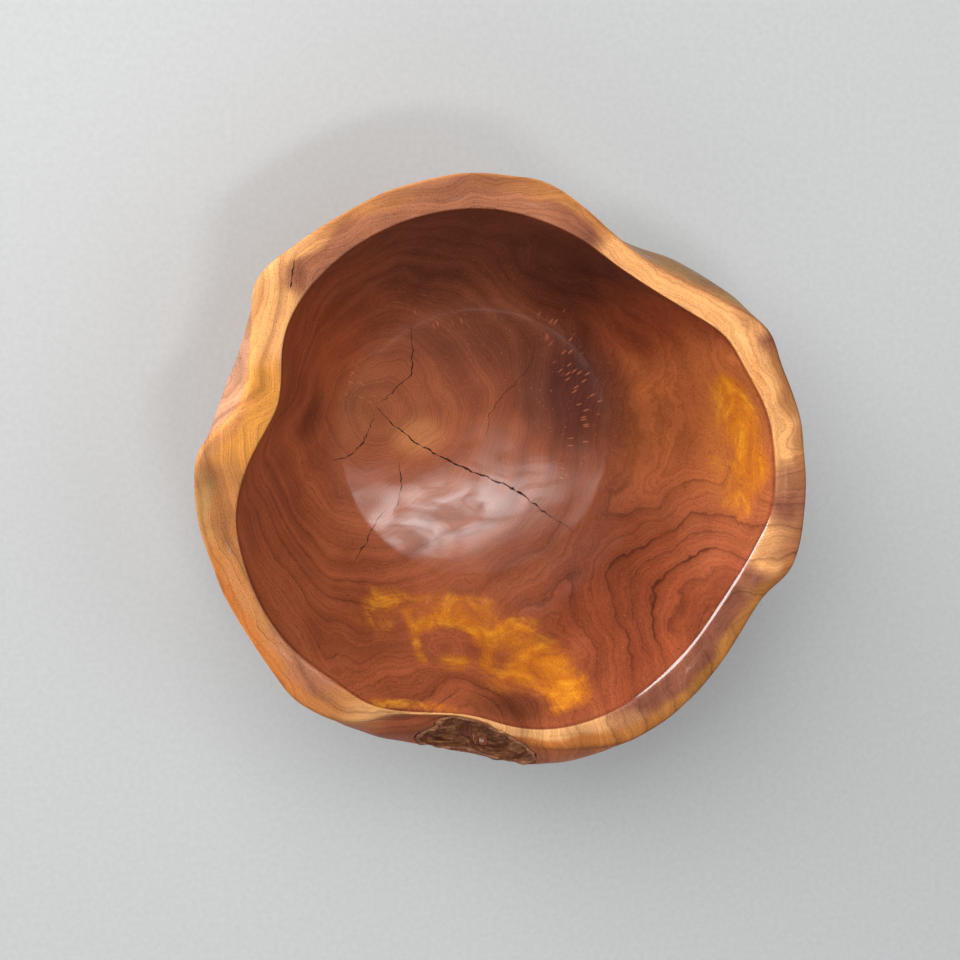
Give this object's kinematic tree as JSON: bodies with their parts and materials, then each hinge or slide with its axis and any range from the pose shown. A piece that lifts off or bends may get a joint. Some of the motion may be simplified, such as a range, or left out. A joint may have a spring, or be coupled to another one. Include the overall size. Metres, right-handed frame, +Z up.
{
  "type": "carved wooden bowl",
  "caption": "Freeform bowl carved from one slice of a fluted teak trunk, with a wavy natural rim, a round floor, ingrown bark in one flute and dark-filled checks.",
  "frame": {"origin": "centre of the bounding box in plan, on the plane the foot stands on", "axes": "+Z up out of the mouth; +X towards the side with the wide gold patch in the inner wall; -Y towards the flute with the ingrown bark"},
  "size_m": [0.3488, 0.3431, 0.1199],
  "materials": {
    "oiled_teak": "satin clear coat over figured teak",
    "ingrown_bark": "rough fibrous bark, dull",
    "dark_filler": "dark wood-dust filler, satin"
  },
  "bodies": {
    "root": {"bowl_body": "oiled_teak", "bark_lining": "ingrown_bark", "check_fill_main": "dark_filler", "check_fill_left": "dark_filler", "check_fill_upper": "dark_filler", "check_fill_lower": "dark_filler", "check_fill_faint": "dark_filler", "rim_pocket_fill": "dark_filler"}
  },
  "joints": []
}
